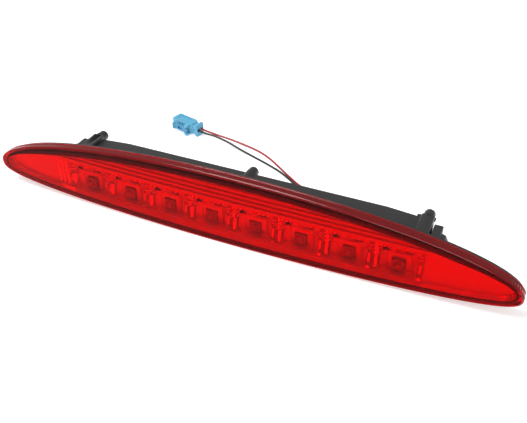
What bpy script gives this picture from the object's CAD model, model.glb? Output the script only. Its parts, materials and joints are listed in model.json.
"""The looks of a third brake light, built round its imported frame.

Pieces are drawn in millimetres in one of two drawing frames, the lamp's own (front of the lens at Y 0, the
line through the two tips at Z 0) or the connector's own. They are turned into metres in the row frame as
they are built.
"""

import json
import logging
import math
from dataclasses import dataclass, field
from enum import Enum
from functools import cached_property
from typing import Callable, Iterable, Sequence

import bmesh
import bpy
from mathutils import Matrix, Vector


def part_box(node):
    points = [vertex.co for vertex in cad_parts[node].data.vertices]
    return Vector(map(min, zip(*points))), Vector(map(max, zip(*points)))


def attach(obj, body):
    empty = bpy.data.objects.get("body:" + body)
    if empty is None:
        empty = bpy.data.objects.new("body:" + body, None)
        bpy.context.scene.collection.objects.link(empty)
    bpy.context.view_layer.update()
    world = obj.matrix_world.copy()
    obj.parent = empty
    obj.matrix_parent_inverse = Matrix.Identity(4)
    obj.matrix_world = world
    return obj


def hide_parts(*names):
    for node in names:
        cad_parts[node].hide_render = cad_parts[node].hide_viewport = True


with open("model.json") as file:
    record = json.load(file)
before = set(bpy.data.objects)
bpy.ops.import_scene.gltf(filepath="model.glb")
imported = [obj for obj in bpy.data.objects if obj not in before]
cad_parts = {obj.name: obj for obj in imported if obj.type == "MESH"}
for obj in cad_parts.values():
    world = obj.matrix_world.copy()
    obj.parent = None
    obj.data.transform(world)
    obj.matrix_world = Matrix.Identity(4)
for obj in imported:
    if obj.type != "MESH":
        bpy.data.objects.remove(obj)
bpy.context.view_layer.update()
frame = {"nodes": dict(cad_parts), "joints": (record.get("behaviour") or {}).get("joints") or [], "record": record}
LAMP, LATCH, LOCK = "lamp", "latch", "lock"
MM = 0.001
TINY = 0.02 * MM

log = logging.getLogger("third_brake_light")

Point = tuple[float, float, float]
Flat = tuple[float, float]
Colour = tuple[float, float, float]
Spot = tuple[int, int]
Grid = dict[Spot, int]


# ---------------------------------------------------------------- finishes


@dataclass(frozen=True)
class Texture:
    """Fine surface detail of a finish.

    Attributes:
        scale: Features per metre.
        bump: Strength of the relief.
        depth: Height of the relief in metres.
        mottle: Share by which the colour varies.
        spread: Amount by which the roughness varies.
        cells: Whether the relief is made of pores instead of noise.
    """

    scale: float
    bump: float
    depth: float
    mottle: float
    spread: float
    cells: bool = False


class Grain(Enum):
    """Named surface textures."""

    CLEAR = Texture(45, 0.01, 0.0001, 0.0, 0.0)
    POLISHED = Texture(140, 0.06, 0.0001, 0.05, 0.08)
    METALLISED = Texture(260, 0.03, 0.0001, 0.04, 0.06)
    MOULDED = Texture(1500, 0.22, 0.0001, 0.16, 0.12)
    RUBBER = Texture(1900, 0.25, 0.0001, 0.20, 0.15)
    FOAM = Texture(1300, 0.75, 0.0004, 0.35, 0.05, cells=True)
    BOARD = Texture(420, 0.30, 0.0001, 0.30, 0.15, cells=True)


@dataclass(frozen=True)
class Finish:
    """A finish of one of the lamp's materials.

    Attributes:
        name: Name of the material.
        colour: Base colour, linear.
        roughness: Middle of the roughness.
        grain: Fine surface detail.
        metallic: Share of metal.
        clear: Share of light that passes through.
        ior: Index of refraction.
        shine: Specular level, where 0.5 is plain plastic.
        glow: Share of light scattered below the surface, for soft plastics.
    """

    name: str
    colour: Colour
    roughness: float
    grain: Grain
    metallic: float = 0.0
    clear: float = 0.0
    ior: float = 1.5
    shine: float = 0.5
    glow: float = 0.0

    def material(self) -> bpy.types.Material:
        """Returns the finish's material, made on first use."""
        made = bpy.data.materials.get(self.name)
        return made if made else self._make()

    def _make(self) -> bpy.types.Material:
        """Builds the node tree.

        Returns:
            The new material.
        """
        made = bpy.data.materials.new(self.name)
        made.use_nodes = True
        nodes, links = made.node_tree.nodes, made.node_tree.links
        shader = nodes["Principled BSDF"]
        shader.inputs["Base Color"].default_value = (*self.colour, 1)
        shader.inputs["Roughness"].default_value = self.roughness
        shader.inputs["Metallic"].default_value = self.metallic
        shader.inputs["Transmission Weight"].default_value = self.clear
        shader.inputs["IOR"].default_value = self.ior
        shader.inputs["Specular IOR Level"].default_value = self.shine
        shader.inputs["Subsurface Weight"].default_value = self.glow
        shader.inputs["Subsurface Scale"].default_value = 0.002
        texture = self.grain.value
        place = nodes.new("ShaderNodeTexCoord").outputs["Object"]
        relief = self._pattern(nodes, texture)
        links.new(place, relief.inputs["Vector"])
        height = relief.outputs["Distance" if texture.cells else "Fac"]
        bump = nodes.new("ShaderNodeBump")
        bump.inputs["Strength"].default_value = texture.bump
        bump.inputs["Distance"].default_value = texture.depth
        links.new(height, bump.inputs["Height"])
        links.new(bump.outputs["Normal"], shader.inputs["Normal"])
        if texture.spread:
            links.new(place, self._vary_roughness(nodes, links, shader, texture).inputs["Vector"])
        if texture.mottle:
            self._vary_colour(nodes, links, shader, height, texture)
        return made

    @staticmethod
    def _pattern(nodes: bpy.types.Nodes, texture: Texture) -> bpy.types.Node:
        """Returns the node that gives the fine relief.

        Args:
            nodes: The material's nodes.
            texture: The finish's fine detail.

        Returns:
            The noise or pore node, whose place is still to be linked.
        """
        if texture.cells:
            relief = nodes.new("ShaderNodeTexVoronoi")
            relief.inputs["Scale"].default_value = texture.scale
            return relief
        relief = nodes.new("ShaderNodeTexNoise")
        relief.inputs["Scale"].default_value = texture.scale
        relief.inputs["Detail"].default_value = 4
        return relief

    def _vary_roughness(
        self, nodes: bpy.types.Nodes, links: bpy.types.NodeLinks, shader: bpy.types.Node, texture: Texture
    ) -> bpy.types.Node:
        """Lets slow patches of handling and flow change the roughness.

        Args:
            nodes: The material's nodes.
            links: The material's links.
            shader: The surface shader.
            texture: The finish's fine detail.

        Returns:
            The noise node, whose place is still to be linked.
        """
        patches = nodes.new("ShaderNodeTexNoise")
        patches.inputs["Scale"].default_value = 60
        patches.inputs["Detail"].default_value = 5
        span = nodes.new("ShaderNodeMapRange")
        span.inputs["To Min"].default_value = max(self.roughness - texture.spread, 0.01)
        span.inputs["To Max"].default_value = min(self.roughness + texture.spread, 1)
        links.new(patches.outputs["Fac"], span.inputs["Value"])
        links.new(span.outputs["Result"], shader.inputs["Roughness"])
        return patches

    def _vary_colour(
        self,
        nodes: bpy.types.Nodes,
        links: bpy.types.NodeLinks,
        shader: bpy.types.Node,
        height: bpy.types.NodeSocket,
        texture: Texture,
    ) -> None:
        """Mixes a darker and a lighter tone of the colour by the fine relief.

        Args:
            nodes: The material's nodes.
            links: The material's links.
            shader: The surface shader.
            height: The relief that drives the mix.
            texture: The finish's fine detail.
        """
        tones = nodes.new("ShaderNodeValToRGB")
        dark, light = tones.color_ramp.elements
        dark.position, light.position = 0.3, 0.7
        dark.color = (*(c * (1 - texture.mottle) for c in self.colour), 1)
        light.color = (*(min(c * (1 + texture.mottle), 1) for c in self.colour), 1)
        links.new(height, tones.inputs["Fac"])
        links.new(tones.outputs["Color"], shader.inputs["Base Color"])


LENS_FACE = Finish("lens_face_red", (0.96, 0.001, 0.004), 0.02, Grain.CLEAR, clear=1, ior=1.13, shine=0.5)
LENS_SKIRT = Finish(
    "lens_skirt_red", (0.42, 0.003, 0.008), 0.09, Grain.CLEAR, clear=0.75, ior=1.40, shine=0.35
)
BLACK_PLASTIC = Finish("housing_black", (0.020, 0.0195, 0.0198), 0.40, Grain.MOULDED)
SEAL_FOAM = Finish("seal_foam", (0.014, 0.014, 0.014), 0.93, Grain.FOAM, shine=0.3)
BRIGHT_PLATE = Finish("reflector_bright", (0.70, 0.68, 0.67), 0.24, Grain.METALLISED, metallic=0.5)
BRIGHT_CUP = Finish("reflector_cup", (0.80, 0.77, 0.75), 0.13, Grain.METALLISED, metallic=0.85)
LED_BODY = Finish("led_body", (0.38, 0.16, 0.15), 0.35, Grain.POLISHED)
LED_DOME = Finish("led_dome", (0.38, 0.09, 0.08), 0.10, Grain.POLISHED)
BOARD_GREEN = Finish("board_solder_mask", (0.03, 0.16, 0.07), 0.38, Grain.BOARD)
CHIP_BLACK = Finish("chip_black", (0.03, 0.03, 0.03), 0.45, Grain.MOULDED)
ZINC = Finish("screw_zinc", (0.62, 0.62, 0.64), 0.30, Grain.METALLISED, metallic=1)
SOFT_RUBBER = Finish("grommet_rubber", (0.016, 0.016, 0.016), 0.62, Grain.RUBBER, shine=0.4)
RED_INSULATION = Finish("insulation_red", (0.36, 0.035, 0.04), 0.34, Grain.POLISHED)
BLACK_INSULATION = Finish("insulation_black", (0.014, 0.015, 0.015), 0.36, Grain.POLISHED)
BLUE_BODY = Finish("connector_blue", (0.105, 0.375, 0.560), 0.36, Grain.MOULDED, glow=0.08)
BLUE_LATCH = Finish("latch_blue", (0.060, 0.270, 0.450), 0.36, Grain.MOULDED, glow=0.08)
BLUE_LOCK = Finish("lock_blue", (0.085, 0.320, 0.500), 0.38, Grain.MOULDED, glow=0.08)
TINNED = Finish("terminal_tin", (0.74, 0.70, 0.60), 0.28, Grain.METALLISED, metallic=1)


# ---------------------------------------------------------------- mesh making


@dataclass
class Skin:
    """Collects the points and faces of one mesh, in the millimetres of its drawing frame.

    Attributes:
        points: Its points.
        faces: Point numbers of each face.
        tones: Material index of each face.
    """

    points: list[Vector] = field(default_factory=list)
    faces: list[list[int]] = field(default_factory=list)
    tones: list[int] = field(default_factory=list)

    def add(self, points: Iterable[Sequence[float]]) -> list[int]:
        """Adds points.

        Args:
            points: The points to add.

        Returns:
            Their numbers in the mesh.
        """
        first = len(self.points)
        self.points.extend(Vector(p) for p in points)
        return list(range(first, len(self.points)))

    def face(self, corners: Sequence[int], tone: int = 0) -> None:
        """Adds a face, without corners that fall together, if three are left.

        Args:
            corners: Numbers of its corners, in order.
            tone: Its material index.
        """
        kept = [c for i, c in enumerate(corners) if c != corners[i - 1]]
        if len(set(kept)) > 2:
            self.faces.append(kept)
            self.tones.append(tone)

    def bridge(self, a: Sequence[int], b: Sequence[int], tone: int = 0) -> None:
        """Joins two closed rings of as many points with four-sided faces.

        Args:
            a: The first ring.
            b: The second ring.
            tone: Material index of the faces.
        """
        for i in range(len(a)):
            j = (i + 1) % len(a)
            self.face([a[i], a[j], b[j], b[i]], tone)

    def strips(self, ring: Sequence[int], tone: int = 0) -> None:
        """Fills a ring whose two halves mirror each other with strips from one half to the other.

        Args:
            ring: The ring, whose first point lies on the mirror line.
            tone: Material index of the faces.
        """
        n = len(ring)
        for i in range(n // 2):
            self.face([ring[i], ring[i + 1], ring[(n - i - 1) % n], ring[(n - i) % n]], tone)

    def build(
        self, name: str, place: Matrix, finishes: Sequence[Finish], crease: float = 32
    ) -> bpy.types.Object:
        """Turns the skin into an object in the row frame.

        Args:
            name: Name of the object.
            place: From the drawing frame to the row frame.
            finishes: One finish for each tone.
            crease: Angle in degrees above which an edge stays sharp.

        Returns:
            The new object.
        """
        mesh = bpy.data.meshes.new(name)
        mesh.from_pydata([place @ p for p in self.points], [], self.faces)
        mesh.polygons.foreach_set("material_index", self.tones)
        shape = bmesh.new()
        shape.from_mesh(mesh)
        bmesh.ops.remove_doubles(shape, verts=shape.verts, dist=TINY / 20)
        bmesh.ops.dissolve_degenerate(shape, edges=shape.edges, dist=TINY / 20)
        bmesh.ops.recalc_face_normals(shape, faces=shape.faces)
        shape.to_mesh(mesh)
        shape.free()
        made = bpy.data.objects.new(name, mesh)
        bpy.context.scene.collection.objects.link(made)
        return dress(made, finishes, crease)


def dress(made: bpy.types.Object, finishes: Sequence[Finish], crease: float = 32) -> bpy.types.Object:
    """Gives a mesh object its finishes and smooth shading between creases.

    Args:
        made: The object.
        finishes: One finish for each material index.
        crease: Angle in degrees above which an edge stays sharp.

    Returns:
        The same object.
    """
    if made.data.materials:
        made.data.materials.clear()
    for finish in finishes:
        made.data.materials.append(finish.material())
    made.data.polygons.foreach_set("use_smooth", [True] * len(made.data.polygons))
    made.data.set_sharp_from_angle(angle=math.radians(crease))
    return made


def prism(outline: Sequence[Flat], a: float, b: float, spread: Callable[[float, float, float], Point]) -> Skin:
    """A flat outline drawn out from a to b.

    Args:
        outline: The outline's corners.
        a: Start of the draw.
        b: End of the draw.
        spread: Turns two outline coordinates and a place along the draw into a point.

    Returns:
        The closed skin.
    """
    skin = Skin()
    near = skin.add(spread(u, v, a) for u, v in outline)
    far = skin.add(spread(u, v, b) for u, v in outline)
    skin.bridge(near, far)
    skin.face(near)
    skin.face(far[::-1])
    return skin


def along_y(u: float, v: float, w: float) -> Point:
    """Outline in X and Z, drawn along Y."""
    return (u, w, v)


def along_z(u: float, v: float, w: float) -> Point:
    """Outline in X and Y, drawn along Z."""
    return (u, v, w)


def rectangle(low: Flat, high: Flat) -> list[Flat]:
    """Corners of a rectangle."""
    return [(low[0], low[1]), (high[0], low[1]), (high[0], high[1]), (low[0], high[1])]


def turned(profile: Sequence[Flat], centre: Flat, steps: int = 48) -> Skin:
    """Turns a profile round an axis along Y.

    Args:
        profile: Radius and Y of each ring, from one end of the axis to the other.
        centre: X and Z of the axis.
        steps: Points round a ring.

    Returns:
        The closed skin.
    """
    skin = Skin()
    rings = []
    for radius, y in profile:
        turn = (math.tau * i / steps for i in range(steps))
        ring = ((centre[0] + radius * math.cos(a), y, centre[1] + radius * math.sin(a)) for a in turn)
        rings.append(skin.add(ring))
    for a, b in zip(rings, rings[1:]):
        skin.bridge(a, b)
    skin.face(rings[0])
    skin.face(rings[-1][::-1])
    return skin


def soften(made: bpy.types.Object, width: float, segments: int = 2, angle: float = 40) -> bpy.types.Object:
    """Rounds the sharp edges of a mesh for good.

    Args:
        made: The object.
        width: Width of the rounding in millimetres.
        segments: Faces across the rounding.
        angle: Edges sharper than this many degrees are rounded.

    Returns:
        The same object.
    """
    bevel = made.modifiers.new("round", "BEVEL")
    bevel.width, bevel.segments = width * MM, segments
    bevel.limit_method, bevel.angle_limit = "ANGLE", math.radians(angle)
    return settle(made)


def combine(made: bpy.types.Object, other: bpy.types.Object, how: str) -> bpy.types.Object:
    """Joins another solid to a mesh or cuts it away, and removes the other solid.

    Args:
        made: The object that stays.
        other: The object that is used up.
        how: UNION or DIFFERENCE.

    Returns:
        The first object.
    """
    cut = made.modifiers.new("combine", "BOOLEAN")
    cut.operation, cut.object, cut.solver = how, other, "EXACT"
    settle(made)
    bpy.data.objects.remove(other)
    return made


def settle(made: bpy.types.Object) -> bpy.types.Object:
    """Applies an object's modifiers to its mesh.

    Args:
        made: The object.

    Returns:
        The same object, with a plain mesh.
    """
    graph = bpy.context.evaluated_depsgraph_get()
    mesh = bpy.data.meshes.new_from_object(made.evaluated_get(graph))
    made.modifiers.clear()
    made.data = mesh
    return made


def mount(made: bpy.types.Object, body: str, slot: str, *stands_for: str) -> bpy.types.Object:
    """Puts a piece on its body, with its material slot and the nodes that it stands for.

    Args:
        made: The piece.
        body: Name of the body that carries it.
        slot: Name of its material slot.
        *stands_for: The nodes that it replaces.

    Returns:
        The same piece.
    """
    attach(made, body)
    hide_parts(*stands_for)
    log.info("%s: %d faces, stands for %s", made.name, len(made.data.polygons), ", ".join(stands_for))
    return made


# ---------------------------------------------------------------- shared geometry of the lamp


@dataclass(frozen=True)
class Rim:
    """The outline and the bow that every piece round the face follows.

    Attributes:
        half: Half length, tip to tip.
        rise: Height above the line through the tips, at the middle.
        drop: Depth below that line, at the middle.
        bow: How far the tips lie behind the middle.
        front: Y of the lens front in the row frame, in metres.
        tips: Z of the line through the tips in the row frame, in metres.
        taper: How much faster the tips come in than the sides.
        top_power: Power of the sine that shapes the top edge.
        bottom_power: Power of the sine that shapes the bottom edge.
    """

    half: float
    rise: float
    drop: float
    bow: float
    front: float
    tips: float
    taper: float = 1.3
    top_power: float = 1.12
    bottom_power: float = 0.56

    @classmethod
    def from_frame(cls, drop: float = 16.5, bow: float = 4.0) -> "Rim":
        """Takes the rim's size and place from the lens in the frame.

        Args:
            drop: Depth of the outline below the line through the tips, in millimetres.
            bow: How far the tips lie behind the middle, in millimetres.

        Returns:
            The rim.
        """
        low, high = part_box("lens_cover")
        height = (high.z - low.z) / MM
        return cls((high.x - low.x) / 2 / MM, height - drop, drop, bow, low.y, low.z + drop * MM)

    @property
    def place(self) -> Matrix:
        """From the lamp's drawing frame to the row frame."""
        return Matrix.Translation((0, self.front, self.tips)) @ Matrix.Scale(MM, 4)

    def drawn(self, point: Sequence[float]) -> Vector:
        """A point of the row frame in the lamp's drawing frame."""
        return self.place.inverted() @ Vector(point)

    def back(self, x: float) -> float:
        """How far a bowed surface lies behind its middle at x."""
        radius = (self.half**2 + self.bow**2) / (2 * self.bow)
        return radius - math.sqrt(radius**2 - x**2)

    def length(self, inset: float) -> float:
        """Half length of the outline brought in by inset."""
        return self.half - self.taper * inset

    def edge(self, inset: float, turn: float) -> Flat:
        """X and Z of the outline brought in by inset, at an angle from the +X tip.

        Args:
            inset: How far the outline is brought in.
            turn: Angle round the outline, where 0 is the +X tip.

        Returns:
            X and Z.
        """
        sine = math.sin(turn)
        up = (self.rise - inset) * max(sine, 0) ** self.top_power
        down = (self.drop - inset) * max(-sine, 0) ** self.bottom_power
        return self.length(inset) * math.cos(turn), up - down

    def at(self, inset: float, depth: float, turn: float) -> Point:
        """A point of the outline on the bowed surface at that depth."""
        x, z = self.edge(inset, turn)
        return (x, depth + self.back(x), z)

    def ring(self, inset: float, depth: float, count: int) -> list[Point]:
        """The whole outline at one inset and depth, from the +X tip over the top."""
        return [self.at(inset, depth, math.tau * i / count) for i in range(count)]


# ---------------------------------------------------------------- studio


@dataclass
class Studio:
    """Camera, pale floor and soft lights.

    Attributes:
        rim: The lamp's rim, which the camera looks at.
        azimuth: Degrees that the camera stands to the right of straight ahead.
        elevation: Degrees that it stands above the level.
        distance: Metres from the camera to its aim.
        aim_x: Metres that the aim lies to the right of the lamp's middle.
        lens: Focal length on a sensor 36 mm wide.
    """

    rim: Rim
    azimuth: float = 23.57
    elevation: float = 36.74
    distance: float = 0.4496
    aim_x: float = 0.0160
    lens: float = 47.82

    def camera(self) -> None:
        """Makes the scene's camera."""
        a, e = math.radians(self.azimuth), math.radians(self.elevation)
        back = Vector((math.sin(a) * math.cos(e), -math.cos(a) * math.cos(e), math.sin(e)))
        data = bpy.data.cameras.new("camera")
        data.lens, data.sensor_width, data.clip_start = self.lens, 36, 0.01
        made = bpy.data.objects.new("camera", data)
        made.location = Vector((self.aim_x, 0, self.rim.tips)) + back * self.distance
        made.rotation_euler = (-back).to_track_quat("-Z", "Y").to_euler()
        bpy.context.scene.collection.objects.link(made)
        bpy.context.scene.camera = made

    def floor(self, size: float = 3.0) -> None:
        """Makes the pale floor.

        Args:
            size: Half the floor's side, in metres.
        """
        mesh = bpy.data.meshes.new("floor")
        corners = [(x * size, y * size, 0) for x, y in ((-1, -1), (1, -1), (1, 1), (-1, 1))]
        mesh.from_pydata(corners, [], [(0, 1, 2, 3)])
        made = bpy.data.objects.new("floor", mesh)
        pale = Finish("floor_pale", (0.93, 0.93, 0.925), 0.9, Grain.MOULDED, shine=0.1).material()
        shader = pale.node_tree.nodes["Principled BSDF"]
        shader.inputs["Emission Color"].default_value = (1, 1, 0.99, 1)
        shader.inputs["Emission Strength"].default_value = 0.42
        mesh.materials.append(pale)
        bpy.context.scene.collection.objects.link(made)

    def lights(self) -> None:
        """Makes the soft surround and the softboxes."""
        scene = bpy.context.scene
        scene.view_settings.view_transform = "Standard"
        world = bpy.data.worlds.new("studio")
        world.use_nodes = True
        sky = world.node_tree.nodes["Background"]
        sky.inputs["Color"].default_value = (1, 1, 1, 1)
        sky.inputs["Strength"].default_value = 0.42
        scene.world = world
        self._softbox("overhead", (-0.38, -0.18, 1.1), (0.9, 0.5), 13.0)
        self._softbox("front", (0.5, -1.2, 0.8), (0.9, 0.9), 7.0)

    @staticmethod
    def _softbox(name: str, at: Point, size: Flat, power: float) -> None:
        """A soft rectangular light that faces the lamp.

        Args:
            name: Name of the light.
            at: Its place, in metres.
            size: Its width and height, in metres.
            power: Its power, in watts.
        """
        data = bpy.data.lights.new(name, "AREA")
        data.shape, data.size, data.size_y, data.energy = "RECTANGLE", size[0], size[1], power
        made = bpy.data.objects.new(name, data)
        made.location = at
        made.rotation_euler = Vector(at).to_track_quat("Z", "Y").to_euler()
        bpy.context.scene.collection.objects.link(made)


# ---------------------------------------------------------------- wires


@dataclass
class LooseWires:
    """The two wires that lie free between the grommet and the connector.

    Attributes:
        diameter: Diameter over the insulation, in millimetres.
        steps: Stretches of curve between two points.
        red: Points of the red wire, in the row frame's millimetres.
        black: Points of the black wire.
        made: The finished wires, by colour.
    """

    diameter: float = 1.6
    steps: int = 6
    red: list[Point] = field(default_factory=lambda: [
        (43.2, 17.75, 17), (43.2, 22, 17), (43.2, 27, 16), (42.8, 33.2, 12.6), (40.6, 40, 8),
        (35.9, 46.3, 3.9), (29.6, 51.5, 1.6), (22.5, 55.9, 0.9), (15.5, 60.1, 0.8), (8, 65.5, 0.8),
        (0.5, 71.1, 0.8), (-6, 76, 0.8), (-13.5, 81.5, 0.8), (-23, 87, 0.8), (-32.5, 90.4, 1),
        (-42, 92, 1.8), (-51.5, 92.5, 3), (-61, 92.4, 4.2), (-69, 92.9, 4.9), (-74.2, 93.8, 5),
        (-82.4, 96, 5)])
    black: list[Point] = field(default_factory=lambda: [
        (40.8, 17.75, 17), (40.8, 22, 17), (40.8, 27, 15.8), (40.4, 32.7, 12.2), (38.4, 38.9, 7.8),
        (34, 44.8, 3.8), (28.4, 49.8, 1.6), (21.5, 54.2, 0.9), (14.5, 58.6, 0.8), (6.9, 63.9, 0.8),
        (-1, 68.8, 0.8), (-10, 73.1, 0.8), (-19.5, 77, 0.8), (-29.5, 80.8, 0.9), (-39.5, 84, 1.6),
        (-49.5, 87, 2.8), (-58, 89, 3.8), (-65, 89.9, 4.6), (-70, 89.9, 4.9), (-75.1, 90.5, 5),
        (-83.3, 92.7, 5)])
    made: dict[str, bpy.types.Object] = field(default_factory=dict)

    def smooth(self, route: list[Point]) -> list[Vector]:
        """Lays a smooth curve through a route.

        Args:
            route: The route's points, in millimetres.

        Returns:
            Points along the curve, in metres.
        """
        p = [Vector(q) * MM for q in route]
        p = [2 * p[0] - p[1], *p, 2 * p[-1] - p[-2]]
        line = []
        for a, b, c, d in zip(p, p[1:], p[2:], p[3:]):
            for i in range(self.steps):
                t = i / self.steps
                line.append(0.5 * (2 * b + (c - a) * t + (2 * a - 5 * b + 4 * c - d) * t**2
                                   + (3 * b - a - 3 * c + d) * t**3))
        return [*line, p[-2]]

    def build(self) -> None:
        """Makes both wires as round curves."""
        for name, route, finish in (("red", self.red, RED_INSULATION), ("black", self.black, BLACK_INSULATION)):
            line = self.smooth(route)
            curve = bpy.data.curves.new(f"loose_wire_{name}", "CURVE")
            curve.dimensions, curve.bevel_depth = "3D", self.diameter / 2 * MM
            curve.bevel_resolution, curve.use_fill_caps = 5, True
            spline = curve.splines.new("POLY")
            spline.points.add(len(line) - 1)
            for point, place in zip(spline.points, line):
                point.co = (*place, 1)
            spline.use_smooth = True
            curve.materials.append(finish.material())
            made = bpy.data.objects.new(curve.name, curve)
            bpy.context.scene.collection.objects.link(made)
            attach(made, LAMP)
            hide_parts(f"wire_{name}")
            self.made[name] = made
            log.info("%s: %.1f mm long", made.name, self.measure(line) / MM)

    @staticmethod
    def measure(line: list[Vector]) -> float:
        """Length of a line of points."""
        return sum((b - a).length for a, b in zip(line, line[1:]))


# ---------------------------------------------------------------- connector


@dataclass
class Connector:
    """The small two-way connector, drawn with its mating end along +X and its rear face at X 0.

    Attributes:
        length: Rear face to mating face.
        width: Width across the two ways.
        height: Height of the body.
        axis: Height of its axis above the floor.
        pivot_x: Latch pivot ahead of the rear face.
        pivot_y: Latch pivot beside the axis.
        neck_end: Where the neck ends and the wide body starts.
        collar: Length of the collar at the rear.
        way_pitch: Distance between the two ways.
        way_side: Side of a way.
        slot_side: Side of the slot for the mating pin.
        face_wall: Wall at the mating face.
        lock_x: Rear end of the lock's slot.
        lock_len: Length of the lock's slot.
        lock_h: Height of the lock's slot.
        lock_deep: Depth of the lock's slot.
        lock_proud: How far the lock stands out.
        latch_len: Length of the latch arm.
        latch_t: Thickness of the latch arm.
        latch_h: Height of the latch arm.
        pin_d: Diameter of the latch pivot.
    """

    length: float = 26
    width: float = 10
    height: float = 8.6
    axis: float = 5
    pivot_x: float = 8.5
    pivot_y: float = 7.0984
    neck_end: float = 6
    collar: float = 2.5
    way_pitch: float = 3.4
    way_side: float = 2.4
    slot_side: float = 1.2
    face_wall: float = 1.2
    lock_x: float = 16
    lock_len: float = 4.6
    lock_h: float = 3.6
    lock_deep: float = 2.3
    lock_proud: float = 0.6
    latch_len: float = 14
    latch_t: float = 1.6
    latch_h: float = 5
    pin_d: float = 1.4

    @property
    def place(self) -> Matrix:
        """From the connector's drawing frame to the row frame, by its two joints.

        Returns:
            The matrix.
        """
        joints = {j["name"]: j for j in frame["joints"]}
        pull = joints["lock_slide"]["axis"]
        yaw = Matrix.Rotation(math.atan2(pull[0], -pull[1]), 4, "Z")
        pivot = Vector(joints["latch_press"]["pos_m"])
        offset = yaw @ Vector((self.pivot_x, self.pivot_y, self.axis)) * MM
        return Matrix.Translation(pivot - offset) @ yaw @ Matrix.Scale(MM, 4)

    def block(self, x: Flat, half_width: float, half_height: float) -> Skin:
        """A block centred on the connector's axis."""
        outline = rectangle((x[0], -half_width), (x[1], half_width))
        return prism(outline, self.axis - half_height, self.axis + half_height, along_z)

    def body(self) -> bpy.types.Object:
        """Makes the body with collar, neck, shoulders, ears, ways and slots.

        Returns:
            The body.
        """
        w, shoulder = self.width / 2, 2.2
        plan = [(self.neck_end - 0.5, -3.5), (self.neck_end + shoulder, -w), (self.length - 0.8, -w),
                (self.length, -w + 0.8), (self.length, w - 0.8), (self.length - 0.8, w),
                (self.neck_end + shoulder, w), (self.neck_end - 0.5, 3.5)]
        half = self.height / 2
        shell = prism(plan, self.axis - half, self.axis + half, along_z)
        made = shell.build("connector_shell", self.place, [BLUE_BODY])
        soften(made, 0.45)
        for skin in (self.block((0, self.collar), 4, self.axis), self.block((1, self.neck_end + 1), 3.5, 3.5)):
            combine(made, soften(skin.build("part", self.place, [BLUE_BODY]), 0.4), "UNION")
        ear = [(self.pivot_x - 1.8, 3.4), (self.pivot_x + 1.8, 3.4), (self.pivot_x + 1.8, self.pivot_y + 0.7),
               (self.pivot_x + 0.8, self.pivot_y + 1.7), (self.pivot_x - 0.8, self.pivot_y + 1.7),
               (self.pivot_x - 1.8, self.pivot_y + 0.7)]
        for side in (-1, 1):
            middle = self.axis + side * (self.latch_h / 2 + 0.95)
            skin = prism(ear, middle - 0.75, middle + 0.75, along_z)
            combine(made, soften(skin.build("part", self.place, [BLUE_BODY]), 0.25), "UNION")
            rail = prism(rectangle((self.neck_end + 3, side * 3.1 - 0.5), (self.length - 2, side * 3.1 + 0.5)),
                         self.axis + half - 0.4, self.axis + half + 0.3, along_z)
            combine(made, soften(rail.build("part", self.place, [BLUE_BODY]), 0.2), "UNION")
        for cutter in self.cutters():
            combine(made, cutter.build("cutter", self.place, [BLUE_BODY]), "DIFFERENCE")
        return mount(dress(made, [BLUE_BODY]), LAMP, "connector_body", "connector_body")

    def cutters(self) -> list[Skin]:
        """Solids to cut away: the wire ways, the mating slots, the lock's slot and a shallow panel.

        Returns:
            The solids.
        """
        found = []
        way, slot = self.way_side / 2, self.slot_side / 2
        for y in (-self.way_pitch / 2, self.way_pitch / 2):
            for half, end in ((way, self.length - self.face_wall), (slot, self.length + 1)):
                outline = rectangle((-1, y - half), (end, y + half))
                found.append(prism(outline, self.axis - half, self.axis + half, along_z))
        lock_end, lock_floor = self.lock_x + self.lock_len, -self.width / 2 + self.lock_deep
        outline = rectangle((self.lock_x, -self.width), (lock_end, lock_floor))
        found.append(prism(outline, self.axis - self.lock_h / 2, self.axis + self.lock_h / 2, along_z))
        top = self.axis + self.height / 2
        found.append(prism(rectangle((11, -2.1), (self.length - 3.5, 2.1)), top - 0.35, top + 2, along_z))
        return found

    def latch(self) -> bpy.types.Object:
        """Makes the latch arm with its window, hook, ridged thumb pad and pivot pin.

        Returns:
            The latch.
        """
        t, h = self.latch_t / 2, self.latch_h / 2
        x, y = self.pivot_x, self.pivot_y
        arm = [(x - t, y - t), (x + self.latch_len - 0.5, y - t), (x + self.latch_len, y - t + 0.5),
               (x + self.latch_len, y + t + 0.85), (x + self.latch_len - 2.6, y + t + 0.85),
               (x + self.latch_len - 3.2, y + t), (x - t, y + t)]
        made = prism(arm, self.axis - h, self.axis + h, along_z).build("latch_arm", self.place, [BLUE_LATCH])
        soften(made, 0.3)
        window = prism(rectangle((x + 4.5, y - 3), (x + 8.5, y + 3)), self.axis - 1.2, self.axis + 1.2, along_z)
        combine(made, window.build("cutter", self.place, [BLUE_LATCH]), "DIFFERENCE")
        for i in range(3):
            groove_x = x + self.latch_len - 2.3 + 0.75 * i
            outline = rectangle((groove_x, y + t + 0.6), (groove_x + 0.3, y + 4))
            groove = prism(outline, 0, 2 * self.axis, along_z)
            combine(made, groove.build("cutter", self.place, [BLUE_LATCH]), "DIFFERENCE")
        pin = Skin()
        ends = [pin.add((x + self.pin_d / 2 * math.cos(a), y + self.pin_d / 2 * math.sin(a), z)
                        for a in (math.tau * i / 24 for i in range(24)))
                for z in (self.axis - h - 1.65, self.axis + h + 1.65)]
        pin.bridge(*ends)
        pin.face(ends[0])
        pin.face(ends[1][::-1])
        combine(made, pin.build("part", self.place, [BLUE_LATCH]), "UNION")
        return mount(dress(made, [BLUE_LATCH]), LATCH, "connector_latch", "connector_latch")

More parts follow.
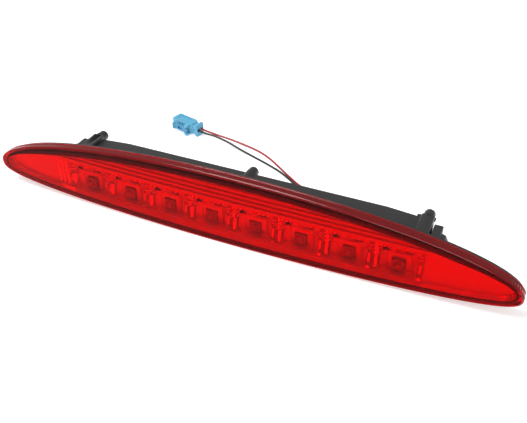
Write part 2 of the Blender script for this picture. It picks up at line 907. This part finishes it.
    def lock(self) -> bpy.types.Object:
        """Makes the terminal lock with its pull ridge.

        Returns:
            The lock.
        """
        outer, inner = -self.width / 2 - self.lock_proud, -self.width / 2 + self.lock_deep - 0.1
        start, end = self.lock_x + 0.1, self.lock_x + 0.1 + 4.4
        plan = [(start, outer), (end, outer), (end, inner), (start, inner)]
        half = self.lock_h / 2 - 0.1
        slide = prism(plan, self.axis - half, self.axis + half, along_z)
        made = slide.build("lock_piece", self.place, [BLUE_LOCK])
        soften(made, 0.2)
        for i in (1, 2):
            x = start + 1.46 * i
            groove = prism(rectangle((x - 0.2, outer - 1), (x + 0.2, outer + 0.25)), 0, 2 * self.axis, along_z)
            combine(made, groove.build("cutter", self.place, [BLUE_LOCK]), "DIFFERENCE")
        return mount(dress(made, [BLUE_LOCK]), LOCK, "terminal_lock", "terminal_lock")

    def build(self) -> dict[str, list[bpy.types.Object]]:
        """Makes the connector.

        Returns:
            The pieces that each wire carries.
        """
        shared = [self.body(), self.latch(), self.lock()]
        for name in ("terminal_red", "terminal_black"):
            dress(frame["nodes"][name], [TINNED])
        return {"red": [*shared, frame["nodes"]["terminal_red"]], "black": [frame["nodes"]["terminal_black"]]}


# ---------------------------------------------------------------- lens


@dataclass
class LensCover:
    """The clear red lens: a bowed face, a border and a ribbed skirt with a bead at each edge.

    Attributes:
        rim: The shared rim.
        wall: Wall thickness.
        depth: Depth of the skirt.
        bead: Width of the bead along each edge of the skirt.
        groove: How far the band between the beads lies back.
        rib: Height of the band's fine ribs.
        rib_pitch: Distance from rib to rib.
        crown: How far the middle of the face stands in front of its edge.
        count: Points round the outline.
        face_rows: Rows of faces from the top of the face to its bottom.
    """

    rim: Rim
    wall: float = 2.2
    depth: float = 6.5
    bead: float = 1.25
    groove: float = 0.35
    rib: float = 0.16
    rib_pitch: float = 2.0
    crown: float = 0.5
    count: int = 2160
    face_rows: int = 8

    def travel(self) -> list[float]:
        """Distance along the outline at each of its points.

        Returns:
            The distances, in millimetres.
        """
        points = [Vector(p) for p in self.rim.ring(0, 0, self.count)]
        found = [0.0]
        for a, b in zip(points, points[1:]):
            found.append(found[-1] + (b - a).length)
        return found

    def ribbed(self, inset: float, depth: float) -> list[Point]:
        """A ring of the band between the beads, with its fine ribs.

        Args:
            inset: Inset of the band between its ribs.
            depth: Depth of the ring.

        Returns:
            The ring's points.
        """
        ring = []
        for i, s in enumerate(self.travel()):
            lift = self.rib * (0.5 - 0.5 * math.cos(math.tau * s / self.rib_pitch))
            ring.append(self.rim.at(inset - lift, depth, math.tau * i / self.count))
        return ring

    def outside(self) -> list[tuple[float, float, bool]]:
        """Inset, depth and whether it is ribbed, for each ring from the rear edge to the face.

        Returns:
            The rings, in order.
        """
        back = self.depth
        rings = [(0.3, back), (0.09, back - 0.09), (0.0, back - 0.3), (0.0, back - self.bead + 0.2),
                 (0.12, back - self.bead)]
        band = [(self.groove, back - self.bead - 0.15), (self.groove, self.bead + 0.55)]
        front = [(0.12, self.bead + 0.45), (0.0, self.bead + 0.3), (0.0, 1.0), (0.2, 0.65), (0.6, 0.25),
                 (1.0, 0.0)]
        return ([(i, d, False) for i, d in rings] + [(i, d, True) for i, d in band]
                + [(i, d, False) for i, d in front])

    def sheet(self, skin: Skin, ring: list[int], inset: float, depth: float) -> None:
        """Fills a ring with a gently crowned face.

        Args:
            skin: The skin that the face is added to.
            ring: Numbers of the ring's points.
            inset: Inset of the ring.
            depth: Depth of the ring.
        """
        n, half = self.count, self.count // 2
        columns = []
        for i in range(half + 1):
            turn = math.pi * i / half
            (x, top), (_, bottom) = self.rim.edge(inset, turn), self.rim.edge(inset, -turn)
            inner = []
            for k in range(1, self.face_rows):
                share = k / self.face_rows
                swell = self.crown * 4 * share * (1 - share) * math.sin(turn)
                inner.append((x, depth + self.rim.back(x) - swell, top + (bottom - top) * share))
            mid = skin.add(inner) if 0 < i < half else [ring[i]] * len(inner)
            columns.append([ring[i], *mid, ring[(n - i) % n]])
        for a, b in zip(columns, columns[1:]):
            for k in range(self.face_rows):
                skin.face([a[k], b[k], b[k + 1], a[k + 1]])

    def build(self) -> bpy.types.Object:
        """Makes the lens as one closed shell.

        Returns:
            The lens.
        """
        skin = Skin()
        rings, tones = [], []
        for inset, depth, is_ribbed in self.outside():
            points = self.ribbed(inset, depth) if is_ribbed else self.rim.ring(inset, depth, self.count)
            rings.append(skin.add(points))
            tones.append(1)
        for a, b, tone in zip(rings, rings[1:], tones):
            skin.bridge(a, b, tone)
        edge = skin.add(self.rim.ring(self.wall + 0.3, -0.02, self.count))
        skin.bridge(rings[-1], edge)
        self.sheet(skin, edge, self.wall + 0.3, -0.02)
        inner = [(self.wall, self.depth), (self.wall, self.wall + 0.4), (self.wall + 0.12, self.wall + 0.12),
                 (self.wall + 0.4, self.wall)]
        inside = [skin.add(self.rim.ring(i, d, self.count)) for i, d in inner]
        skin.bridge(rings[0], inside[0], 1)
        for a, b in zip(inside, inside[1:]):
            skin.bridge(a, b, 1)
        self.sheet(skin, inside[-1], self.wall + 0.4, self.wall)
        made = skin.build("lens_shell", self.rim.place, [LENS_FACE, LENS_SKIRT], 22)
        return mount(made, LAMP, "lens_cover", "lens_cover")


# ---------------------------------------------------------------- housing and seal


@dataclass
class RearHousing:
    """The black housing: a rim flange with the weld wall, the box, its end blocks, and the studs.

    Attributes:
        rim: The shared rim.
        flange: Front and back of the flange.
        floor: Front of the dish floor.
        box_half: Half length of the box.
        box_top: Top of the box over the tip line.
        box_bottom: Bottom of the box under the tip line.
        box_back: Back of the box.
        shoulder: X where the top of the box starts to fall.
        fall: How far it falls at the end of the box.
        wall: Wall thickness.
        boss_extra: How much wider a stud's boss is, in radius.
        collar_out: How far a boss stands out of the back.
        count: Points round the outline.
    """

    rim: Rim
    flange: Flat = (6.6, 9.6)
    floor: float = 7.4
    box_half: float = 121
    box_top: float = 16
    box_bottom: float = 12
    box_back: float = 37.5
    shoulder: float = 92
    fall: float = 2.2
    wall: float = 2
    boss_extra: float = 0.4
    collar_out: float = 2
    count: int = 480

    def solid(self, skin: Skin) -> bpy.types.Object:
        """Builds a skin in the lamp's drawing frame."""
        return skin.build("part", self.rim.place, [BLACK_PLASTIC])

    def studs(self) -> list[tuple[float, float, float]]:
        """X, Z and radius of each stud, from the part's mounts.

        Returns:
            One row for each stud.
        """
        pins = [m for m in frame["record"]["mounts"] if m["kind"] == "pin"]
        drawn = [self.rim.drawn(m["pos_m"]) for m in pins]
        return [(p.x, p.z, m["dims"]["r_mm"]) for p, m in zip(drawn, pins)]

    def dish(self) -> bpy.types.Object:
        """The flange, the weld wall and the floor between them, as one closed ring shape.

        Returns:
            The ring shape.
        """
        front, back = self.flange
        profile = [(3.4, self.floor), (3.4, 2.6), (3.2, 2.35), (2.55, 2.35), (2.35, 2.6), (2.35, front),
                   (1.6, front), (1.4, front + 0.2), (1.4, back - 0.3), (1.7, back)]
        skin = Skin()
        rings = [skin.add(self.rim.ring(i, d, self.count)) for i, d in profile]
        for a, b in zip(rings, rings[1:]):
            skin.bridge(a, b)
        skin.strips(rings[0])
        skin.strips(rings[-1])
        return self.solid(skin)

    def box(self) -> bpy.types.Object:
        """The box with its falling shoulders."""
        start = self.floor + 1 + self.rim.back(self.box_half)
        return soften(self.solid(prism(self.box_outline(0), start, self.box_back, along_y)), 0.7, 3, 8)

    def box_outline(self, grow: float) -> list[Flat]:
        """The box with its falling top and a raised pad under each outer stud, grown by a margin.

        Args:
            grow: Margin added on every side.

        Returns:
            The outline's corners in X and Z.
        """
        x, z, radius = self.studs()[-1]
        pad, pad_top = 2 * x - self.box_half, z + radius
        foot = self.box_top - self.fall * (pad - self.shoulder) / (self.box_half - self.shoulder)
        side = [(self.box_half + grow, -self.box_bottom - grow), (self.box_half + grow, pad_top + grow),
                (pad - grow, pad_top + grow), (pad - grow, foot + grow), (self.shoulder, self.box_top + grow)]
        return [*side, *((-x, z) for x, z in reversed(side))]

    def end_block(self, side: int) -> bpy.types.Object:
        """The block and hump beside one end of the box.

        Args:
            side: 1 for the +X end, -1 for the other.

        Returns:
            The block with its hump.
        """
        inner, outer, hump = self.box_half - 1, self.box_half + 6.5, self.box_half + 11
        start = self.floor + 1 + self.rim.back(self.box_half)
        block = [(inner, -9.5), (outer, -9.5), (outer, 14.6), (inner, 14.6)]
        low = [(inner, -9.5), (hump, -6.5), (hump, 7.5), (hump - 0.4, 9.8), (hump - 1.8, 12.5), (outer, 13.4),
               (inner, 13.4)]
        made = self.solid(prism([(side * x, z) for x, z in block], start, self.box_back - 4, along_y))
        soften(made, 0.8, 3)
        hump_part = self.solid(prism([(side * x, z) for x, z in low], start, 28, along_y))
        combine(made, soften(hump_part, 0.8, 3), "UNION")
        slot = prism([(side * x, z) for x, z in rectangle((self.box_half, -40), (self.box_half + 1, 40))],
                     16.2, self.box_back + 5, along_y)
        return combine(made, self.solid(slot), "DIFFERENCE")

    def stud(self, x: float, z: float, radius: float) -> bpy.types.Object:
        """A stud with its boss, collar and chamfered end.

        Args:
            x: X of its axis.
            z: Z of its axis.
            radius: Radius of its plain wall.

        Returns:
            The stud.
        """
        boss, back, tip = radius + self.boss_extra, self.box_back, self.box_back + 6
        profile = [(boss, back - 12 if abs(x) < 1 else back - 1), (boss, back + self.collar_out - 0.25),
                   (boss - 0.25, back + self.collar_out), (radius, back + self.collar_out), (radius, tip - 0.7),
                   (radius - 0.2, tip - 0.25), (radius - 0.7, tip), (1.3, tip), (1.1, tip - 0.5),
                   (0.3, tip - 0.8)]
        return self.solid(turned(profile, (x, z)))

    def cavities(self) -> list[Skin]:
        """Hollows: a wide stretch for the cells and a narrower one for the board.

        Returns:
            The solids to cut away.
        """
        wide = prism(rectangle((-123.8, -10.4), (123.8, 12.4)), -2, 14.2, along_y)
        inner = self.box_half - self.wall
        board_room = rectangle((-inner, self.wall - self.box_bottom), (inner, 8.6))
        low = prism(board_room, 13.2, self.box_back - self.wall, along_y)
        return [wide, low]

    def back_relief(self) -> list[Skin]:
        """Shallow moulded panels and ejector marks in the back face.

        Returns:
            The solids to cut away.
        """
        back = self.box_back
        found = []
        for left, right in ((-111, -62), (-58, -6), (62, 109)):
            found.append(prism(rectangle((left, -9.2), (right, 7.2)), back - 0.5, back + 1, along_y))
        for x in (-60, 6, 24, 60):
            found.append(turned([(2.2, back - 0.25), (2.2, back + 1)], (x, -7), 32))
        return found

    def build(self) -> bpy.types.Object:
        """Makes the housing as one solid.

        Returns:
            The housing.
        """
        made = combine(self.dish(), self.box(), "UNION")
        for side in (-1, 1):
            combine(made, self.end_block(side), "UNION")
        for x, z, radius in self.studs():
            combine(made, self.stud(x, z, radius), "UNION")
        x, z, _ = self.studs()[-1]
        rib = self.solid(prism(rectangle((x - 6.8, z - 0.7), (x + 4.6, z + 0.7)), self.box_back - 1,
                               self.box_back + self.collar_out, along_y))
        combine(made, soften(rib, 0.25), "UNION")
        for skin in (*self.cavities(), *self.back_relief(), self.exit_hole()):
            combine(made, self.solid(skin), "DIFFERENCE")
        return mount(dress(made, [BLACK_PLASTIC], 28), LAMP, "rear_housing", "rear_housing")

    def exit_hole(self) -> Skin:
        """The round hole for the wire grommet.

        Returns:
            The solid to cut away.
        """
        low, high = (self.rim.drawn(p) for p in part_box("wire_grommet"))
        middle = (low + high) / 2
        return turned([(4.2, self.box_back - 4), (4.2, self.box_back + 2)], (middle.x, middle.z), 40)


@dataclass
class BodySeal:
    """The foam pad behind the flange, cut out round the box and the studs.

    Attributes:
        rim: The shared rim.
        housing: The housing that it sits on.
        front: Front of the pad.
        thickness: Thickness of the pad.
        inset: Inset of its edge from the rim.
        lower: How much lower its top edge runs.
        gap: Room round what passes through.
        count: Points round the outline.
    """

    rim: Rim
    housing: RearHousing
    front: float = 9.6
    thickness: float = 2.0
    inset: float = 1.6
    lower: float = 2.4
    gap: float = 0.12
    count: int = 480

    def edge_ring(self, inset: float, depth: float) -> list[Point]:
        """The pad's outline: the rim's, with its top edge kept lower, behind the flange."""
        ring = self.rim.ring(inset, depth, self.count)
        return [(x, y, z - self.lower * min(max(z, 0) / 8, 1)) for x, y, z in ring]

    def build(self) -> bpy.types.Object:
        """Makes the pad with a rounded outer edge.

        Returns:
            The pad.
        """
        back = self.front + self.thickness
        profile = [(0.3, self.front + 0.02), (0.0, self.front + 0.3), (0.0, back - 0.6), (0.18, back - 0.18),
                   (0.6, back)]
        skin = Skin()
        rings = [skin.add(self.edge_ring(self.inset + i, d)) for i, d in profile]
        for a, b in zip(rings, rings[1:]):
            skin.bridge(a, b)
        skin.strips(rings[0])
        skin.strips(rings[-1])
        made = skin.build("seal_pad", self.rim.place, [SEAL_FOAM])
        h, g = self.housing, self.gap
        end = h.box_half + 11 + g
        corner = [(end, -6.6), (end, 13.5), (h.box_half + 6.5 + g, 14.8), (h.box_half - 1, 14.8),
                  (h.box_half - 1, -9.6)]
        for hole in (h.box_outline(g), corner, [(-x, z) for x, z in corner]):
            combine(made, h.solid(prism(hole, self.front - 2, back + 8, along_y)), "DIFFERENCE")
        for x, z, radius in h.studs():
            size = radius + h.boss_extra + g
            combine(made, h.solid(turned([(size, self.front - 2), (size, back + 8)], (x, z))), "DIFFERENCE")
        return mount(dress(made, [SEAL_FOAM]), LAMP, "body_seal", "body_seal")


# ---------------------------------------------------------------- reflector


@dataclass
class ReflectorBezel:
    """The bright bezel: a plate with long ribs, a row of fluted cups with LED windows, and a rim wall.

    Attributes:
        rim: The shared rim.
        plate: Depth of the plate.
        sheet: Thickness of the sheet.
        inset: Inset of the plate's edge.
        deep: Depth of a cup below the plate.
        cup_half: Half width of a cup at the plate.
        cup_z: Bottom and top of a cup at the plate.
        floor_half: Half width of a cup's floor.
        floor_z: Bottom and top of a cup's floor.
        curve: How fast a cup's wall steepens towards its edge.
        flute: Depth of the flutes in the side walls.
        flute_pitch: Distance from flute to flute.
        end_flute: Width of each of the three flutes to the left of the first cup.
        window: Half side of the LED window.
        rib_start: Height of the first long rib.
        rib_pitch: Distance between the long ribs.
        rib_count: Number of long ribs.
        rib_high: Height of a long rib.
        rib_out: How far a long rib stands out.
        facet: Depth of the crossed facets between the cells.
        facet_pitch: Distance from facet to facet.
        border: How much lower the plate's top edge runs, for the dark border above it.
        shiny_from: Depth below the plate where the brighter finish starts.
        shiny_to: Depth below the plate where it ends.
        slots: Left, bottom, right and top of each slot, from the middle of its cell.
    """

    rim: Rim
    plate: float = 5.8
    sheet: float = 0.9
    inset: float = 5.0
    deep: float = 5.0
    cup_half: float = 15.4
    cup_z: Flat = (-9.4, 11.4)
    floor_half: float = 6.5
    floor_z: Flat = (-9.0, 1.6)
    curve: float = 1.7
    flute: float = 0.30
    flute_pitch: float = 1.8
    end_flute: float = 3.3
    window: float = 4.2
    rib_start: float = 13.4
    rib_pitch: float = 3.3
    rib_count: int = 4
    rib_high: float = 1.1
    rib_out: float = 1.3
    facet: float = 1.3
    facet_pitch: float = 6.2
    border: float = 4.2
    shiny_from: float = 0.25
    shiny_to: float = 3.6
    slots: tuple[tuple[float, float, float, float], ...] = ((-10.2, 4.2, -6.2, 8.0), (3.0, 5.4, 8.4, 7.0))

    @cached_property
    def cells(self) -> list[Flat]:
        """X of each cell and Z of its LED, from the LEDs in the frame.

        Returns:
            One pair for each cell.
        """
        names = sorted(n for n in frame["nodes"] if n.startswith("led_"))
        found = []
        for name in names:
            low, high = (self.rim.drawn(p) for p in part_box(name))
            found.append(((low.x + high.x) / 2, (low.z + high.z) / 2))
        return found

    def columns(self) -> list[float]:
        """X of the mesh's columns: fine in the cells, wide on the plain ends.

        Returns:
            The columns, from left to right.
        """
        offsets = {0.0, 2.1, self.window, self.window + 0.15, self.floor_half, self.cup_half}
        offsets |= {abs(x) for slot in self.slots for x in slot[::2]}
        steps = int((self.cup_half - self.floor_half) / (self.flute_pitch / 4))
        offsets |= {self.floor_half + self.flute_pitch / 4 * i for i in range(1, steps)}
        found = {round(x + side * o, 3) for x, _ in self.cells for o in offsets for side in (-1, 1)}
        row_end = max(found)
        found |= {side * (row_end + 0.55 * i) for i in range(1, 20) for side in (-1, 1)}
        edge, end = max(found), self.rim.length(self.inset)
        for i in range(1, 41):
            x = edge + (end - edge) * math.sin(math.pi / 2 * i / 40)
            found |= {x, -x}
        kept = [sorted(found)[0]]
        for x in sorted(found)[1:]:
            if x - kept[-1] > 0.03:
                kept.append(x)
        return kept

    def rows(self) -> list[float]:
        """Z of the mesh's rows.

        Returns:
            The rows, from the bottom up.
        """
        _, led_z = self.cells[0]
        found = {-11.0, self.cup_z[0] - 0.1, self.cup_z[0], self.floor_z[0], self.floor_z[1], self.cup_z[1],
                 self.cup_z[1] + 0.1, 12.4}
        found |= {led_z - self.window - 0.15, led_z - self.window, led_z, led_z + self.window,
                  led_z + self.window + 0.15}
        found |= {z for slot in self.slots for z in slot[1::2]}
        found |= {self.floor_z[1] + 0.7 * i for i in range(1, 14)}
        for k in range(self.rib_count):
            z = self.rib_start + self.rib_pitch * k
            found |= {z - 0.15, z, z + self.rib_high * 0.5, z + self.rib_high, z + self.rib_high + 0.15,
                      z + self.rib_pitch * 0.6}
        kept = [sorted(found)[0]]
        for z in sorted(found)[1:]:
            if z - kept[-1] > 0.04:
                kept.append(z)
        return kept

    def lowered(self, z: float) -> float:
        """Height on the plate's outline, with the top edge kept lower."""
        return z - self.border * min(max(z, 0) / 18, 1)

    def relief(self, x: float, z: float) -> float:
        """How far the surface lies behind the plate at a place, or in front of it where negative.

        Args:
            x: X of the place.
            z: Z of the place.

        Returns:
            The depth, in millimetres.
        """
        for k in range(self.rib_count):
            over = z - self.rib_start - self.rib_pitch * k
            if -0.01 <= over <= self.rib_high + 0.01 and abs(x) < 140:
                return -self.rib_out
        u = min((x - cell for cell, _ in self.cells), key=abs)
        if not self.cup_z[0] < z < self.cup_z[1]:
            return 0.0
        if abs(u) > self.cup_half:
            beyond = -u - self.cup_half
            if not 0 < beyond < 3 * self.end_flute:
                return 0.0
            swell = math.sin(math.pi * beyond / self.end_flute) ** 2
            return swell * (0.6 + 0.4 * math.sin(math.tau * z / self.facet_pitch))
        side = (abs(u) - self.floor_half) / (self.cup_half - self.floor_half)
        top = (z - self.floor_z[1]) / (self.cup_z[1] - self.floor_z[1])
        bottom = (self.floor_z[0] - z) / (self.floor_z[0] - self.cup_z[0])
        share = min(max(side, top, bottom, 0), 1)
        depth = self.deep * (1 - share**self.curve)
        if side >= max(top, bottom, 0.01):
            wave = math.cos(math.tau * (abs(u) - self.floor_half) / self.flute_pitch)
            depth += self.flute * (0.5 - 0.5 * wave)
        if top > max(side, bottom, 0.01):
            depth += self.flute * (0.5 - 0.5 * math.cos(math.tau * (z - self.floor_z[1]) / 2.1))
        turn = math.tau / self.facet_pitch
        crossed = math.sin(turn * (u + z)) * math.sin(turn * (u - z))
        fade = min(1, 5 * (1 - max(top, bottom, 0)))
        return max(depth + self.facet * crossed * share * fade, 0)

    def is_open(self, x: float, z: float) -> bool:
        """Whether a place lies in an LED window or a slot.

        Args:
            x: X of the place.
            z: Z of the place.

        Returns:
            True where the sheet has a hole.
        """
        for cell, led_z in self.cells:
            if abs(x - cell) < self.window and abs(z - led_z) < self.window:
                return True
            if any(a < x - cell < c and b < z < d for a, b, c, d in self.slots):
                return True
        return False

    def build(self) -> bpy.types.Object:
        """Makes the bezel as one closed sheet.

        Returns:
            The bezel.
        """
        xs, levels = self.columns(), self.rows()
        half = self.rim.length(self.inset)
        turns = [math.acos(max(-1, min(1, x / half))) for x in xs]
        tops = [self.lowered(self.rim.edge(self.inset, t)[1]) for t in turns]
        bottoms = [self.rim.edge(self.inset, -t)[1] for t in turns]
        levels = [min(bottoms) - 1, *levels, max(tops) + 1]
        skin = Skin()
        front, back, shiny = {}, {}, set()
        for j, x in enumerate(xs):
            for k, level in enumerate(levels):
                z = min(max(level, bottoms[j]), tops[j])
                ease = min((z - bottoms[j]) / 0.5, (tops[j] - z) / 0.5, 1)
                relief = self.relief(x, z) * max(ease, 0)
                y = self.plate + self.rim.back(x) + relief
                if self.shiny_from < relief < self.shiny_to:
                    shiny.add((j, k))
                front[j, k], back[j, k] = skin.add([(x, y, z), (x, y + self.sheet, z)])
        holes = {(j, k) for j in range(len(xs) - 1) for k in range(len(levels) - 1)
                 if self.is_open((xs[j] + xs[j + 1]) / 2, (levels[k] + levels[k + 1]) / 2)}
        for j in range(len(xs) - 1):
            for k in range(len(levels) - 1):
                self.cell_faces(skin, front, back, shiny, holes, j, k)
        self.wall(skin, turns)
        made = skin.build("reflector_sheet", self.rim.place, [BRIGHT_PLATE, BRIGHT_CUP], 24)
        return mount(made, LAMP, "reflector_bezel", "reflector_bezel")

    @staticmethod
    def cell_faces(
        skin: Skin, front: Grid, back: Grid, shiny: set[Spot], holes: set[Spot], j: int, k: int
    ) -> None:
        """Adds the front and back faces of one patch, or the walls of a hole round it.

        Args:
            skin: The skin that the faces are added to.
            front: Number of each front point, by column and row.
            back: Number of each back point.
            shiny: Columns and rows of the points with the brighter finish.
            holes: Columns and rows of the patches that are open.
            j: The patch's column.
            k: The patch's row.
        """
        corners = [(j, k), (j + 1, k), (j + 1, k + 1), (j, k + 1)]
        if (j, k) not in holes:
            skin.face([front[c] for c in corners], int(any(c in shiny for c in corners)))
            skin.face([back[c] for c in reversed(corners)])
            return
        beside = [(j, k - 1), (j + 1, k), (j, k + 1), (j - 1, k)]
        for i, other in enumerate(beside):
            if other not in holes:
                a, b = corners[i], corners[(i + 1) % 4]
                skin.face([front[a], front[b], back[b], back[a]])

    def wall(self, skin: Skin, turns: list[float]) -> None:
        """Adds the rim wall that slants forward from the plate's edge and its plain outer side.

        Args:
            skin: The skin that the wall is added to.
            turns: Angles of the columns round the outline.
        """
        path = [*turns[::-1], *(-t for t in turns[1:-1])]
        lip = self.inset - 1.4
        profile = [(self.inset, self.plate), (self.inset - 0.25, self.plate - 0.25), (lip + 0.35, 3.0),
                   (lip + 0.2, 2.6), (lip, 2.6), (lip, self.plate + 1.4), (self.inset, self.plate + self.sheet)]
        rings = []
        for inset, depth in profile:
            ring = (self.rim.at(inset, depth, t) for t in path)
            rings.append(skin.add((x, y, self.lowered(z)) for x, y, z in ring))
        for a, b in zip(rings, rings[1:]):
            skin.bridge(a, b)


# ---------------------------------------------------------------- LEDs, board and grommet


@dataclass
class Leds:
    """The eight LEDs: a square body with rounded corners and a low dome.

    Attributes:
        rim: The shared rim.
        side: Side of the body.
        base: Depth of the body.
        dome: Diameter of the dome.
        dome_out: How far the dome stands out.
    """

    rim: Rim
    side: float = 7.6
    base: float = 3.2
    dome: float = 5.0
    dome_out: float = 2.2

    def skin(self, centre: Vector) -> Skin:
        """One LED: body, raised ring and dome.

        Args:
            centre: Middle of the body's front face.

        Returns:
            The skin, with tone 1 on the dome.
        """
        half, cut = self.side / 2, 0.9
        outline = [(half, half - cut), (half - cut, half), (cut - half, half), (-half, half - cut),
                   (-half, cut - half), (cut - half, -half), (half - cut, -half), (half, cut - half)]
        skin = Skin()
        levels = ((0.94, 0.0), (1.0, 0.25), (1.0, self.base - 0.01))
        rings = [skin.add((centre.x + u * s, centre.y + y, centre.z + v * s) for u, v in outline)
                 for s, y in levels]
        for a, b in zip(rings, rings[1:]):
            skin.bridge(a, b)
        skin.face(rings[0])
        skin.face(rings[-1][::-1])
        radius = self.dome / 2
        profile = [(radius + 0.35, 0.05), (radius + 0.3, -0.25), (radius, -0.3)]
        profile += [(radius * math.cos(t), -0.3 - (self.dome_out - 0.3) * math.sin(t))
                    for t in (math.radians(a) for a in range(12, 90, 13))]
        steps = 28
        circles = [skin.add((centre.x + r * math.cos(math.tau * i / steps), centre.y + y,
                             centre.z + r * math.sin(math.tau * i / steps)) for i in range(steps))
                   for r, y in profile]
        for a, b in zip(circles, circles[1:]):
            skin.bridge(a, b, 1)
        skin.face(circles[0], 1)
        skin.face(circles[-1][::-1], 1)
        return skin

    def build(self) -> None:
        """Makes every LED where the frame has it."""
        for name in sorted(n for n in frame["nodes"] if n.startswith("led_")):
            low, high = (self.rim.drawn(p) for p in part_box(name))
            centre = Vector(((low.x + high.x) / 2, high.y - self.base, (low.z + high.z) / 2))
            made = self.skin(centre).build(f"{name}_lamp", self.rim.place, [LED_BODY, LED_DOME])
            mount(made, LAMP, "led", name)


@dataclass
class Grommet:
    """The soft grommet that holds the wires in the back wall.

    Attributes:
        rim: The shared rim.
        bore: Diameter of its hole in the wall.
        lip: How far its lips reach past the hole.
    """

    rim: Rim
    bore: float = 8.4
    lip: float = 1.8

    def build(self) -> bpy.types.Object:
        """Makes the grommet as a turned piece with soft lips and a ribbed nose.

        Returns:
            The grommet.
        """
        low, high = (self.rim.drawn(p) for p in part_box("wire_grommet"))
        middle, r = (low + high) / 2, self.bore / 2
        wide, wall_back, nose = r + self.lip, high.y - 2.0, high.y
        profile = [(0.4, low.y), (wide - 0.4, low.y), (wide, low.y + 0.3), (wide, low.y + 1.1),
                   (r - 0.05, low.y + 1.2), (r - 0.05, wall_back), (wide - 0.3, wall_back),
                   (wide, wall_back + 0.25),
                   (wide - 0.15, wall_back + 0.6), (wide - 0.7, wall_back + 0.8), (r - 0.3, wall_back + 0.85),
                   (r - 0.5, wall_back + 1.1), (r - 0.5, nose - 0.4), (r - 0.9, nose - 0.05),
                   (0.4, nose - 0.02)]
        made = turned(profile, (middle.x, middle.z), 56).build("grommet_ring", self.rim.place, [SOFT_RUBBER])
        return mount(made, LAMP, "wire_grommet", "wire_grommet")


def dress_inside() -> None:
    """Gives the pieces that stay as the frame has them their finishes."""
    inside = {"circuit_board": BOARD_GREEN, "protection_diode": CHIP_BLACK, "board_screws": ZINC,
              "board_lead_red": RED_INSULATION, "board_lead_black": BLACK_INSULATION}
    inside |= {f"resistor_{i}": CHIP_BLACK for i in range(1, 5)}
    for name, finish in inside.items():
        dress(frame["nodes"][name], [finish])
    log.info("dressed %d pieces inside", len(inside))


def main() -> None:
    """Builds the studio and every sub-assembly in order."""
    logging.basicConfig(level=logging.INFO, format="%(name)s: %(message)s")
    rim = Rim.from_frame()
    studio = Studio(rim)
    studio.camera()
    wires = LooseWires()
    wires.build()
    Connector().build()
    studio.floor()
    studio.lights()
    housing = RearHousing(rim)
    housing.build()
    BodySeal(rim, housing).build()
    Grommet(rim).build()
    ReflectorBezel(rim).build()
    Leds(rim).build()
    dress_inside()
    LensCover(rim).build()


if __name__ == "__main__":
    main()
